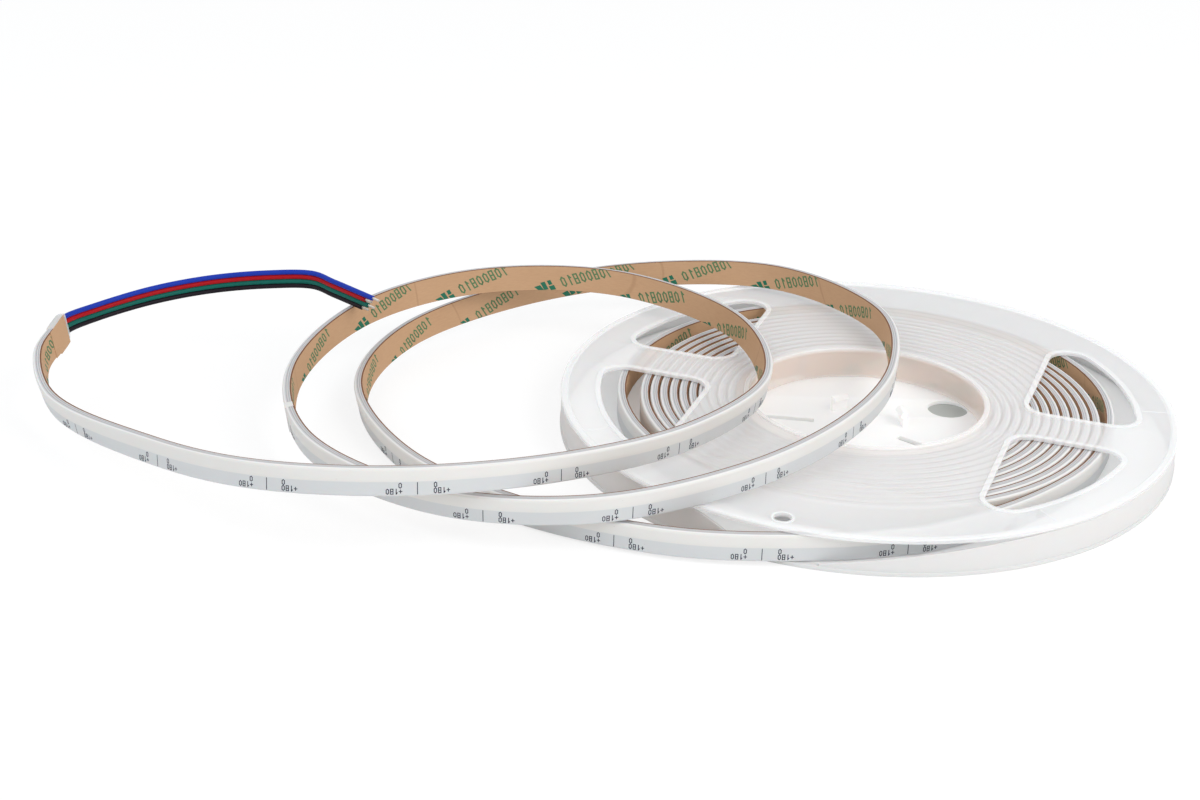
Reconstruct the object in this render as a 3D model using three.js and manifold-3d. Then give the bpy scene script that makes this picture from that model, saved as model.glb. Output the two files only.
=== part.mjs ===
import * as THREE from "three";
import { mergeVertices } from "three/addons/utils/BufferGeometryUtils.js";
import Module from "manifold-3d";

// A flat plastic reel of sleeved light strip. The strip stands on edge: its inner turns are wound on the hub,
// and its outer length leaves the reel at the front and lies in three loose loops across the top.
// Millimetres, +Z up. The reel's axis is Z and its disc stands on z = 0.

const wasm = await Module();
wasm.setup();

// Strip and its paper liner
const strip_width = 10;
const strip_thickness = 2.75;
const strip_corner = 0.8;
const liner_thickness = 0.3;
const touch_gap = 0.3;
const run_step = 15;

// Reel: disc with outer wall, and top flange with hub collar
const reel_radius = 115;
const disc_thickness = 1.6;
const wall_thickness = 1.5;
const strip_headroom = 0.5;
const plate_thickness = 1.2;
const lip_height = 0.4;
const lip_width = 2;
const rim_band_width = 3;
const hub_opening_radius = 44;
const collar_thickness = 1.5;
const rim_step = 0.3;
const circle_steps = 90;
const small_circle_steps = 24;
const small_arc_steps = 6;

// Windows, spokes and small holes of the top flange
const spoke_azimuth = -19.8;
const spoke_half_width = 11;
const hub_band_width = 14;
const rim_width = 15;
const window_fillet = 8;
const rim_hole = { radius: 3.2, inset: 7.5, azimuth: -111 };

// Hole, slots and clips in the middle of the disc
const finger_hole = { radius: 7.7, distance: 37.6, azimuth: 25.7 };
const slot_width = 2.9;
const slots = [
  { azimuth: 171.5, start: 19, end: 40 },
  { azimuth: -40, start: 15, end: 36 },
];
const clip_height = 6;
const clip_width = 7;
const clip_thickness = 1.6;
const clip_nose = 1.4;
const clips = [
  { azimuth: 122, distance: 15.3 },
  { azimuth: 8, distance: 14.1 },
];

// Notch in the outer wall where the strip leaves. Its lengths run along the rim from the crossing.
const notch_azimuth = -107.3;
const notch_open_right = 8;
const notch_open_left = 17;
const notch_rise_right = 92;
const notch_rise_left = 27;
const notch_end_height = 1;

// Wound turns. The outermost one is loose: its gap widens and closes between these angles from the entry.
const coil_room = 25.8;
const turn_steps = 24;
const entry_azimuth = -85.5;
const entry_flare = 12;
const entry_flare_angle = 44;
const entry_gap = 3.3;
const loose_turn_gap = 9.2;
const loose_turn_widens = { from: 60, to: 120 };
const loose_turn_closes = { from: 200, to: 360 };

// Cap on the strip's end, and its four wires
const cap_length = 7;
const cap_grip = 4;
const cap_wall = 0.6;
const wire_diameter = 1.6;
const wire_sides = 8;
const wire_step = 4.5;
const tip_diameter = 1;
const wires = [
  { name: "blue", color: 0x2b6fb0, level: 1.5, reach: 1 },
  { name: "red", color: 0xc63a3a, level: 0.5, reach: 0.6 },
  { name: "green", color: 0x2f8f7a, level: -0.5, reach: 0.75 },
  { name: "black", color: 0x2a2a2c, level: -1.5, reach: 0.4 },
];
const tip_length = 4;

// The loose run from the capped end to the reel, along the middle of the strip's lower edge. Each point has
// x and y in hundredths of the reel's radius, its height as reel heights plus strip widths, and the degrees
// that the strip's top leans outward.
const route_divisions = 2000;
const run_route = [
  [-264.5, 9.5, 0, 1.98, 11],
  [-267, -4.5, 0, 1.61, 11],
  [-259.5, -23.5, 0, 1.03, 15],
  [-222.5, -65, 0, 1.53, 1],
  [-185, -92.5, 0, 2.24, -3],
  [-139.5, -96, 0, 2.39, -4],
  [-93, -77.5, 0.5, 1.41, 0],
  [-57.5, -48, 1, 0.39, 5],
  [-34.5, -4, 1, 0.1, 10],
  [-42.5, 41.5, 1, 0.22, 12],
  [-81, 68, 1, 0.57, 12],
  [-129.5, 64.5, 0, 2.08, 10],
  [-167, 38, 0, 1.86, 10],
  [-185.5, -8.5, 0, 1.4, 9],
  [-175, -51.5, 0, 1.03, 8],
  [-136, -82.5, 0, 0.91, 5],
  [-89.5, -89.5, 0.5, 0.42, 2],
  [-45, -74.5, 1, 0.16, 0],
  [-11, -40, 1, 0.25, 0],
  [8, 3.5, 1, 0.18, 2],
  [8, 51.5, 1, 0.15, 5],
  [-23.5, 87, 1, 0.14, 9],
  [-70.5, 94, 0, 1.22, 11],
  [-116, 80, 0, 0.82, 12],
  [-153, 48, 0, 0.45, 12],
  [-165, 5.5, 0, 0.2, 11],
  [-146, -42.5, 0, 0.05, 7],
  [-112.5, -72, 0, 0.04, 4],
  [-65.5, -92, 0, 0.12, 0],
  [-20, -93.5, 0, 0.2, 0],
];

// The wires' route from the cap to their cut ends: x and y in hundredths of the reel's radius, and the height
// of the wires' middle in strip widths.
const wire_route = [
  [-256, 28.7, 2.57],
  [-239, 39, 2.83],
  [-220.5, 45.8, 3.03],
  [-201, 47.6, 3.22],
  [-186, 47, 3.28],
  [-178, 40, 3.28],
  [-170, 32.6, 3.27],
  [-163.5, 26.5, 3.26],
];

// Sizes that follow
const strip_floor = disc_thickness + touch_gap;
const plate_bottom = strip_floor + strip_width + strip_headroom;
const plate_top = plate_bottom + plate_thickness;
const reel_height = plate_top + lip_height;
const wall_top = plate_bottom - touch_gap;
const wall_inner = reel_radius - wall_thickness;
const route_unit = reel_radius / 100;
const collar_radius = hub_opening_radius + collar_thickness;
const strip_depth = strip_thickness + touch_gap + liner_thickness;
const turn_pitch = strip_depth + touch_gap;
const coil_radius = wall_inner - coil_room;
const wire_pitch = wire_diameter + touch_gap;
const wall_start = notch_azimuth + (180 * notch_open_right) / (Math.PI * reel_radius);

const rad = THREE.MathUtils.degToRad;
const up = new THREE.Vector3(0, 0, 1);

function polar(distance, azimuth, z = 0) {
  const a = rad(azimuth);
  return new THREE.Vector3(distance * Math.cos(a), distance * Math.sin(a), z);
}

// Joining and cutting
function toSolid(geometry) {
  const bare = geometry.clone();
  bare.deleteAttribute("normal");
  bare.deleteAttribute("uv");
  const merged = mergeVertices(bare, 1e-3);
  return new wasm.Manifold(
    new wasm.Mesh({
      numProp: 3,
      vertProperties: merged.attributes.position.array,
      triVerts: new Uint32Array(merged.index.array),
    }),
  );
}

function toGeometry(solid) {
  const mesh = solid.getMesh();
  const geometry = new THREE.BufferGeometry();
  geometry.setAttribute("position", new THREE.BufferAttribute(mesh.vertProperties, 3));
  geometry.setIndex(new THREE.BufferAttribute(mesh.triVerts, 1));
  geometry.computeVertexNormals();
  return geometry;
}

function prism(points, bottom, top) {
  const geometry = new THREE.ExtrudeGeometry(new THREE.Shape(points), {
    depth: top - bottom,
    bevelEnabled: false,
  });
  return toSolid(geometry.translate(0, 0, bottom));
}

// Points along an arc, its far end left out
function arc(x, y, radius, from, to, steps) {
  const points = [];
  for (let k = 0; k < steps; k++) {
    const a = from + ((to - from) * k) / steps;
    points.push(new THREE.Vector2(x + radius * Math.cos(a), y + radius * Math.sin(a)));
  }
  return points;
}

function cylinder(radius, bottom, top) {
  return prism(arc(0, 0, radius, 0, 2 * Math.PI, circle_steps), bottom, top);
}

function smallCylinder(radius, bottom, top, { x, y }) {
  return prism(arc(x, y, radius, 0, 2 * Math.PI, small_circle_steps), bottom, top);
}

// A closed body through a row of sections. Each section is a ring of points in the same order, and its first
// point sees all the others.
function loft(sections) {
  const around = sections[0].length;
  const index = [];
  const skin = (a, b, c) => index.push(a, b, c);
  for (let i = 0; i < sections.length - 1; i++) {
    for (let j = 0; j < around; j++) {
      const here = i * around + j;
      const beside = i * around + ((j + 1) % around);
      skin(here, beside, beside + around);
      skin(here, beside + around, here + around);
    }
  }
  const last = (sections.length - 1) * around;
  for (let j = 1; j < around - 1; j++) {
    skin(0, j + 1, j);
    skin(last, last + j, last + j + 1);
  }
  const points = sections.flat();
  if (signedVolume(points, index) < 0) index.reverse();
  const geometry = new THREE.BufferGeometry().setFromPoints(points);
  geometry.setIndex(index);
  geometry.computeVertexNormals();
  return geometry;
}

// Six times the volume inside the triangles, negative when they face inward
function signedVolume(points, index) {
  let total = 0;
  for (let i = 0; i < index.length; i += 3) {
    const [a, b, c] = [points[index[i]], points[index[i + 1]], points[index[i + 2]]];
    total += a.dot(b.clone().cross(c));
  }
  return total;
}

function routePoint(x, y, height) {
  return new THREE.Vector3(x * route_unit, y * route_unit, height);
}

// Stations of the strip: where the middle of its lower edge is, which way is outward, and which way is up
function station(point, outward, lean) {
  const high = up.clone().multiplyScalar(Math.cos(lean)).addScaledVector(outward, Math.sin(lean));
  const out = outward.clone().multiplyScalar(Math.cos(lean)).addScaledVector(up, -Math.sin(lean));
  return { point, out, high };
}

function place(at, section) {
  return section.map(([across, above]) =>
    at.point.clone().addScaledVector(at.out, across).addScaledVector(at.high, above),
  );
}

// Radius of the wound strip's middle line, by the angle wound since the entry
function turnRadius(angle) {
  const tight = coil_radius - strip_depth / 2;
  if (angle >= 360) return tight - (turn_pitch * (angle - 360)) / 360;
  const widen = THREE.MathUtils.smoothstep(angle, loose_turn_widens.from, loose_turn_widens.to);
  const close = THREE.MathUtils.smoothstep(angle, loose_turn_closes.from, loose_turn_closes.to);
  const gap = THREE.MathUtils.lerp(entry_gap, loose_turn_gap, widen) * (1 - close);
  const flare = Math.max(0, 1 - angle / entry_flare_angle);
  return tight + gap + entry_flare * flare * flare;
}

function coilStations() {
  const made = [];
  const innermost = collar_radius + touch_gap + strip_depth / 2;
  for (let k = 0; turnRadius((k * 360) / turn_steps) > innermost; k++) {
    const angle = (k * 360) / turn_steps;
    const outward = polar(1, entry_azimuth + angle);
    const point = polar(turnRadius(angle), entry_azimuth + angle, strip_floor);
    made.push(station(point, outward, 0));
  }
  return made;
}

function runStations() {
  const entry = polar(turnRadius(0), entry_azimuth, strip_floor);
  const points = run_route.map(([x, y, reels, strips]) =>
    routePoint(x, y, reels * reel_height + strips * strip_width),
  );
  const line = new THREE.CatmullRomCurve3([...points, entry]);
  const leans = run_route.map((row, i) => new THREE.Vector2(i, row[4]));
  const lean = new THREE.SplineCurve([...leans, new THREE.Vector2(leans.length, 0)]);
  line.arcLengthDivisions = route_divisions;
  const steps = Math.round(line.getLength() / run_step);
  const made = [];
  for (let k = 0; k < steps; k++) {
    const t = line.getUtoTmapping(k / steps);
    const along = line.getTangent(t);
    const outward = new THREE.Vector3(along.y, -along.x, 0).normalize();
    made.push(station(line.getPoint(t), outward, rad(lean.getPoint(t).y)));
  }
  return made;
}

const stations = [...runStations(), ...coilStations()];
const outer_face = strip_depth / 2;
const inner_face = outer_face - strip_thickness;

function strip() {
  const corner = outer_face - strip_corner;
  const section = [
    [inner_face, 0],
    [corner, 0],
    [outer_face, strip_corner],
    [outer_face, strip_width - strip_corner],
    [corner, strip_width],
    [inner_face, strip_width],
  ];
  return loft(stations.map((at) => place(at, section)));
}

function liner() {
  const section = [
    [-outer_face, 0],
    [inner_face - touch_gap, 0],
    [inner_face - touch_gap, strip_width],
    [-outer_face, strip_width],
  ];
  return loft(stations.map((at) => place(at, section)));
}

// The cap on the strip's free end grips the strip in a pocket
const first = stations[0];
const backward = first.point.clone().sub(stations[1].point).normalize();

function capBlock(grow, from, to) {
  const section = [
    [-outer_face - grow, -grow],
    [outer_face + grow, -grow],
    [outer_face + grow, strip_width + grow],
    [-outer_face - grow, strip_width + grow],
  ];
  const shifted = [from, to].map((reach) => ({
    ...first,
    point: first.point.clone().addScaledVector(backward, reach),
  }));
  return toSolid(loft(shifted.map((at) => place(at, section))));
}

function endCap() {
  const block = capBlock(touch_gap + cap_wall, cap_length, -cap_grip);
  return toGeometry(block.subtract(capBlock(touch_gap, touch_gap, -2 * cap_grip)));
}

// Wires
function wireLine({ level, reach }) {
  const lift = up.clone().multiplyScalar(level * wire_pitch);
  const socket = first.point
    .clone()
    .addScaledVector(first.high, strip_width / 2 + level * wire_pitch)
    .addScaledVector(backward, cap_length + 2 * touch_gap);
  const points = wire_route.map(([x, y, strips]) => routePoint(x, y, strips * strip_width).add(lift));
  const end = points.length - 1;
  points[end].lerp(points[end - 1], 1 - reach);
  return new THREE.CatmullRomCurve3([socket, ...points]);
}

function rod(diameter, line, step) {
  const radius = diameter / 2;
  const corners = [];
  for (let k = 0; k < wire_sides; k++) {
    const a = (2 * Math.PI * k) / wire_sides;
    corners.push(new THREE.Vector2(radius * Math.cos(a), radius * Math.sin(a)));
  }
  return new THREE.ExtrudeGeometry(new THREE.Shape(corners), {
    steps: Math.max(1, Math.round(line.getLength() / step)),
    extrudePath: line,
    bevelEnabled: false,
  });
}

function tipLine(wire) {
  const line = wireLine(wire);
  const along = line.getTangent(1);
  const start = line.getPoint(1).addScaledVector(along, touch_gap);
  return new THREE.LineCurve3(start, start.clone().addScaledVector(along, tip_length));
}

// Top flange. Its windows are cut in a frame where X runs along the spokes.
function windowOutline(grow, side_x, side_y) {
  const near = hub_opening_radius + hub_band_width - grow;
  const spoke = spoke_half_width - grow;
  const rim = reel_radius - rim_width + grow;
  const fillet = window_fillet + grow;
  const middle = rim - fillet;
  const low = { x: Math.sqrt(middle ** 2 - (spoke + fillet) ** 2), y: spoke + fillet };
  const high = { x: near + fillet, y: Math.sqrt(middle ** 2 - (near + fillet) ** 2) };
  const low_turn = Math.atan2(low.y, low.x);
  const high_turn = Math.atan2(high.y, high.x);
  const points = [
    ...arc(near + fillet, spoke + fillet, fillet, Math.PI, 1.5 * Math.PI, small_arc_steps),
    new THREE.Vector2(near + fillet, spoke),
    ...arc(low.x, low.y, fillet, -0.5 * Math.PI, low_turn, small_arc_steps),
    ...arc(0, 0, rim, low_turn, high_turn, 2 * small_arc_steps),
    ...arc(high.x, high.y, fillet, high_turn, Math.PI, small_arc_steps),
    new THREE.Vector2(near, high.y),
  ];
  return points.map((p) => new THREE.Vector2(p.x * side_x, p.y * side_y));
}

function flange() {
  const corners = [
    [1, 1],
    [-1, 1],
    [-1, -1],
    [1, -1],
  ];
  const hole = polar(reel_radius - rim_hole.inset, rim_hole.azimuth - spoke_azimuth);
  const root = plate_top - lip_height;
  const band = cylinder(reel_radius - rim_step, root, reel_height);
  const within_band = cylinder(reel_radius - rim_band_width, 0, 2 * reel_height);
  let body = cylinder(reel_radius, plate_bottom, plate_top).add(band.subtract(within_band));
  body = body.add(cylinder(hub_opening_radius + lip_width, root, reel_height));
  body = body.add(cylinder(collar_radius, strip_floor, root));
  for (const [x, y] of corners) {
    body = body.add(prism(windowOutline(lip_width, x, y), root, reel_height));
  }
  body = body.add(smallCylinder(rim_hole.radius + lip_width / 2, root, reel_height, hole));
  body = body.subtract(cylinder(hub_opening_radius, 0, 2 * reel_height));
  for (const [x, y] of corners) {
    body = body.subtract(prism(windowOutline(0, x, y), 0, 2 * reel_height));
  }
  body = body.subtract(smallCylinder(rim_hole.radius, 0, 2 * reel_height, hole));
  return toGeometry(body).rotateZ(rad(spoke_azimuth));
}

// The outer wall runs round the disc from one side of the notch to the other, and its top rises from there
function wallHeight(past, rise) {
  const low = disc_thickness + notch_end_height;
  const share = THREE.MathUtils.clamp(past / rise, 0, 1);
  return low + (wall_top - low) * Math.sin((share * Math.PI) / 2);
}

function wall() {
  const outer = reel_radius - rim_step;
  const length = 2 * Math.PI * reel_radius - notch_open_right - notch_open_left;
  const step = (2 * Math.PI * reel_radius) / circle_steps;
  const places = [];
  for (let past = 0; past < length - step / 2; past += step) places.push(past);
  const sections = [...places, length].map((past) => {
    const azimuth = wall_start + THREE.MathUtils.radToDeg(past / reel_radius);
    const right = wallHeight(past, notch_rise_right);
    const left = wallHeight(length - past, notch_rise_left);
    const top = Math.min(right, left);
    return [
      polar(wall_inner, azimuth, disc_thickness / 2),
      polar(outer, azimuth, disc_thickness / 2),
      polar(outer, azimuth, top),
      polar(wall_inner, azimuth, top),
    ];
  });
  return toSolid(loft(sections));
}

function slotBody({ azimuth, start, end }) {
  const outline = [
    new THREE.Vector2(start, -slot_width / 2),
    new THREE.Vector2(end, -slot_width / 2),
    new THREE.Vector2(end, slot_width / 2),
    new THREE.Vector2(start, slot_width / 2),
  ];
  return prism(outline, -disc_thickness, 2 * disc_thickness).rotate([0, 0, azimuth]);
}

// A springy clip with a nose at its top that faces the hub's middle
function clipBody({ azimuth, distance }) {
  const foot = distance + clip_thickness;
  const top = disc_thickness + clip_height;
  const profile = [
    [foot, top],
    [distance, top],
    [distance - clip_nose, top - clip_nose],
    [distance, top - 2 * clip_nose],
    [distance, disc_thickness / 2],
    [foot, disc_thickness / 2],
  ];
  const sides = [-clip_width / 2, clip_width / 2].map((y) =>
    profile.map(([x, z]) => new THREE.Vector3(x, y, z)),
  );
  return toSolid(loft(sides)).rotate([0, 0, azimuth]);
}

function base() {
  const hole = polar(finger_hole.distance, finger_hole.azimuth);
  const disc = cylinder(reel_radius, 0, disc_thickness).rotate([0, 0, wall_start]);
  let body = disc.add(wall());
  body = body.subtract(smallCylinder(finger_hole.radius, -disc_thickness, 2 * disc_thickness, hole));
  for (const slot of slots) body = body.subtract(slotBody(slot));
  for (const clip of clips) body = body.add(clipBody(clip));
  return toGeometry(body);
}

function add(group, name, geometry, color, roughness, extra = {}) {
  const material = new THREE.MeshStandardMaterial({ color, roughness, metalness: 0, ...extra });
  const mesh = new THREE.Mesh(geometry, material);
  mesh.name = name;
  group.add(mesh);
}

const reel = new THREE.Group();
add(reel, "reel_base", base(), 0xf2f1f0, 0.45);
add(reel, "reel_flange", flange(), 0xf4f3f2, 0.4);

const lights = new THREE.Group();
add(lights, "led_strip", strip(), 0xf4f2ee, 0.5);
add(lights, "strip_liner", liner(), 0xc49e78, 0.7);
add(lights, "end_cap", endCap(), 0xe9e7e3, 0.4);

const leads = new THREE.Group();
for (const wire of wires) {
  add(leads, "lead_" + wire.name, rod(wire_diameter, wireLine(wire), wire_step), wire.color, 0.45);
  add(leads, "tip_" + wire.name, rod(tip_diameter, tipLine(wire), tip_length), 0xd8d6d2, 0.35, {
    metalness: 0.8,
  });
}

const part = new THREE.Group();
part.add(reel, lights, leads);

export default part;
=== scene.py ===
import bisect
import math
import random

import bmesh
import bpy
from mathutils import Matrix, Vector


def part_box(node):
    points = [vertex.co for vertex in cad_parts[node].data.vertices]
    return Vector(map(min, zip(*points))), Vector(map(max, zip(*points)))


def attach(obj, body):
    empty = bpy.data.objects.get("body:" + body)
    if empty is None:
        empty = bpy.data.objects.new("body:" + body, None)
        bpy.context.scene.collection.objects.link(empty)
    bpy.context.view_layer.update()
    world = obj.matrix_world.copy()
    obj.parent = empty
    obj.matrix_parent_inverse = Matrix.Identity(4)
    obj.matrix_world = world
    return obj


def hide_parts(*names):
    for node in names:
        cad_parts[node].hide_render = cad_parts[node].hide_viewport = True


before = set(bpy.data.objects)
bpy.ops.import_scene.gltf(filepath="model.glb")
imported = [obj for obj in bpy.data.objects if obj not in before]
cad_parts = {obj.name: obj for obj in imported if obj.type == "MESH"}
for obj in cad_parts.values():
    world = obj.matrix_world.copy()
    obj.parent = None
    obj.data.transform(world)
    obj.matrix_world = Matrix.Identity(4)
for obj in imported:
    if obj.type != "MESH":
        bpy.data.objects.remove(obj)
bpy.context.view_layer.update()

# Sizes are in millimetres here, and every mesh is made in metres
MM = 0.001

# How far the visual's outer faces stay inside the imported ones
TRIM = 0.01

# Reel sizes, most of them from the frame
BASE_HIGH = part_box("reel_base")[1]
FLANGE_LOW, FLANGE_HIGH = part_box("reel_flange")
REEL_RADIUS = 115
RIM = BASE_HIGH.y / MM - TRIM
REEL_HEIGHT = FLANGE_HIGH.z / MM
WALL_TOP = BASE_HIGH.z / MM
STRIP_FLOOR = FLANGE_LOW.z / MM

# Strip with its sleeve and paper liner. The board shows through the sleeve's lower part, which lies a step in.
STRIP_WIDTH = 10
STRIP_DEPTH = 3.35
LINER = 0.3
FACE = STRIP_DEPTH / 2 - TRIM
BACK = -STRIP_DEPTH / 2
FACE_STEP = 0.12
BOARD_TOP = 5.3
SLEEVE_CORNER = 0.9
GROOVES = (-0.62, 0.18)
GROOVE = 0.12
RUN_STEP = 3
COIL_STEP = 4

# Reel
TOUCH = 0.3
DISC = STRIP_FLOOR - TOUCH
WALL = 1.5
RIM_STEP = 0.3
PLATE_BOTTOM = WALL_TOP + TOUCH
LIP = 0.4
PLATE_TOP = REEL_HEIGHT - LIP
LIP_WIDTH = 2
BAND_WIDTH = 3
PLATE_EDGE = 0.18
LIP_EDGE = 0.16
LIP_ROOT = PLATE_TOP - 0.1
COLLAR_ROUND = 0.2
BAND_ROUND = 0.25
WALL_ROUND = 0.35
WALL_STEPS = 480
# Degrees past which an edge is drawn sharp, and how near points merge, in metres
SHARP_ANGLE = 35
WELD = 1e-7
BIG_RING = 20
BIG_RING_STEPS = 360
SMALL_RING_STEPS = 72
FILLET_STEPS = 12
HUB_OPENING = 44
COLLAR = 1.5
SPOKE_AZIMUTH = -19.8
SPOKE_HALF = 11
HUB_BAND = 14
RIM_WIDTH = 15
WINDOW_FILLET = 8
RIM_HOLE = {"radius": 3.2, "inset": 7.5, "azimuth": -111}
FINGER_HOLE = {"radius": 7.7, "distance": 37.6, "azimuth": 25.7}
SLOT_WIDTH = 2.9
SLOTS = [{"azimuth": 171.5, "start": 19, "end": 40}, {"azimuth": -40, "start": 15, "end": 36}]
CLIP = {"height": 6, "width": 7, "thickness": 1.6, "nose": 1.4}
CLIPS = [{"azimuth": 122, "distance": 15.3}, {"azimuth": 8, "distance": 14.1}]
NOTCH_AZIMUTH = -107.3
NOTCH_OPEN_RIGHT = 8
NOTCH_OPEN_LEFT = 17
NOTCH_RISE_RIGHT = 92
NOTCH_RISE_LEFT = 27
NOTCH_END_HEIGHT = 1
WELD_LINES = [(-60.7, 101.5, 111), (199, 101.5, 111), (-4, 103, 111.5)]
WELD_WIDTH = 0.5

# Wound turns
COIL_RADIUS = REEL_RADIUS - WALL - 25.8
TURN_PITCH = STRIP_DEPTH + TOUCH
ENTRY_AZIMUTH = -85.5
ENTRY_FLARE = 12
FLARE_ANGLE = 44
ENTRY_GAP = 3.3
LOOSE_GAP = 9.2
LOOSE_WIDENS = (60, 120)
LOOSE_CLOSES = (200, 360)

# Cap and wires. The cap's lines are reaches beyond the strip's end, and how far it stands out there.
CAP_LENGTH = 7
CAP_GRIP = 4
CAP_CORNER = 0.7
CAP_BODY = [(-CAP_GRIP, 0.02), (-CAP_GRIP + 0.6, 0.14), (-1, 0.2), (2, 0.2), (4.8, 0.14)]
CAP_NOSE = [(4.8, 0.14), (5.6, 0.02), (6.4, -0.2), (CAP_LENGTH, -0.45)]
CAP_PAPER = [(-CAP_GRIP - 3, 0.04), (-CAP_GRIP, 0.08), (-CAP_GRIP + 0.8, 0.26), (2, 0.28), (4.7, 0.24)]
CAP_PAPER_DEPTH = 0.25
WIRE_SOCKET = 2.6
WIRE = 1.96
WIRE_PITCH = 1.9
WIRE_DROP = 0.2
TIP = 1
TIP_LENGTH = 4
TIP_STRANDS = 7
TIP_TWIST = 150
WIRES = [
    {"name": "blue", "level": 1.5, "reach": 1, "ink": (0.006, 0.03, 0.33)},
    {"name": "red", "level": 0.5, "reach": 0.6, "ink": (0.34, 0.001, 0.006)},
    {"name": "green", "level": -0.5, "reach": 0.75, "ink": (0.001, 0.1, 0.078)},
    {"name": "black", "level": -1.5, "reach": 0.4, "ink": (0.006, 0.003, 0.007)},
]

# The loose run along the middle of the strip's lower edge: x and y in hundredths of the reel's radius, height
# as reel heights plus strip widths, and the degrees that the top leans outward
RUN_ROUTE = [
    (-264.5, 9.5, 0, 1.98, 11),
    (-267, -4.5, 0, 1.61, 11),
    (-259.5, -23.5, 0, 1.03, 15),
    (-222.5, -65, 0, 1.53, 1),
    (-185, -92.5, 0, 2.24, -3),
    (-139.5, -96, 0, 2.39, -4),
    (-93, -77.5, 0.5, 1.41, 0),
    (-57.5, -48, 1, 0.39, 5),
    (-34.5, -4, 1, 0.1, 10),
    (-42.5, 41.5, 1, 0.22, 12),
    (-81, 68, 1, 0.57, 12),
    (-129.5, 64.5, 0, 2.08, 10),
    (-167, 38, 0, 1.86, 10),
    (-185.5, -8.5, 0, 1.4, 9),
    (-175, -51.5, 0, 1.03, 8),
    (-136, -82.5, 0, 0.91, 5),
    (-89.5, -89.5, 0.5, 0.42, 2),
    (-45, -74.5, 1, 0.16, 0),
    (-11, -40, 1, 0.25, 0),
    (8, 3.5, 1, 0.18, 2),
    (8, 51.5, 1, 0.15, 5),
    (-23.5, 87, 1, 0.14, 9),
    (-70.5, 94, 0, 1.22, 11),
    (-116, 80, 0, 0.82, 12),
    (-153, 48, 0, 0.45, 12),
    (-165, 5.5, 0, 0.2, 11),
    (-146, -42.5, 0, 0.05, 7),
    (-112.5, -72, 0, 0.04, 4),
    (-65.5, -92, 0, 0.12, 0),
    (-20, -93.5, 0, 0.2, 0),
]

# The wires' route from the cap: x and y in hundredths of the reel's radius, and the height of their middle in
# strip widths
WIRE_ROUTE = [
    (-256, 28.7, 2.57),
    (-239, 39, 2.83),
    (-220.5, 45.8, 3.03),
    (-201, 47.6, 3.22),
    (-186, 47, 3.28),
    (-178, 40, 3.28),
    (-170, 32.6, 3.27),
    (-163.5, 26.5, 3.26),
]

# Camera of the photograph's view
CAMERA_PLACE = Vector((-108.9, -791.9, 375.4))
CAMERA_YAW = 0.64
CAMERA_PITCH = 24.83
CAMERA_ROLL = 1.8
CAMERA_LENS = 69.57

UP = Vector((0, 0, 1))


def polar(distance, azimuth, z=0):
    a = math.radians(azimuth)
    return Vector((distance * math.cos(a), distance * math.sin(a), z))


# Curves
def catmull_rom(points, per_span):
    """A centripetal curve through the points, as a list of Vectors with per_span steps in each span."""
    made = []
    last = len(points) - 1
    for i in range(last):
        p1, p2 = points[i], points[i + 1]
        p0 = points[i - 1] if i else 2 * p1 - p2
        p3 = points[i + 2] if i + 2 <= last else 2 * p2 - p1
        d0, d1, d2 = ((b - a).length ** 0.5 for a, b in ((p0, p1), (p1, p2), (p2, p3)))
        t1 = ((p1 - p0) / d0 - (p2 - p0) / (d0 + d1) + (p2 - p1) / d1) * d1
        t2 = ((p2 - p1) / d1 - (p3 - p1) / (d1 + d2) + (p3 - p2) / d2) * d1
        for k in range(per_span):
            w = k / per_span
            made.append(p1 + t1 * w + (3 * (p2 - p1) - 2 * t1 - t2) * w**2 + (2 * (p1 - p2) + t1 + t2) * w**3)
    made.append(points[last].copy())
    return made


def distances(points):
    total = [0.0]
    for a, b in zip(points, points[1:]):
        total.append(total[-1] + (b - a).length)
    return total


def resample(points, values, step):
    """The line's points and values again, an even step apart."""
    along = distances(points)
    count = max(1, round(along[-1] / step))
    places, levels = [], []
    for k in range(count + 1):
        s = along[-1] * k / count
        i = min(max(bisect.bisect_right(along, s) - 1, 0), len(points) - 2)
        w = (s - along[i]) / max(along[i + 1] - along[i], 1e-9)
        places.append(points[i].lerp(points[i + 1], w))
        levels.append(values[i] + (values[i + 1] - values[i]) * w)
    return places, levels


def smoothstep(x, low, high):
    t = min(max((x - low) / (high - low), 0), 1)
    return t * t * (3 - 2 * t)


def turn_radius(angle):
    """Radius of the wound strip's middle line, by the angle wound since the entry."""
    tight = COIL_RADIUS - STRIP_DEPTH / 2
    if angle >= 360:
        return tight - TURN_PITCH * (angle - 360) / 360
    widen = smoothstep(angle, *LOOSE_WIDENS)
    close = smoothstep(angle, *LOOSE_CLOSES)
    gap = (ENTRY_GAP + (LOOSE_GAP - ENTRY_GAP) * widen) * (1 - close)
    flare = max(0, 1 - angle / FLARE_ANGLE)
    return tight + gap + ENTRY_FLARE * flare**2


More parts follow.
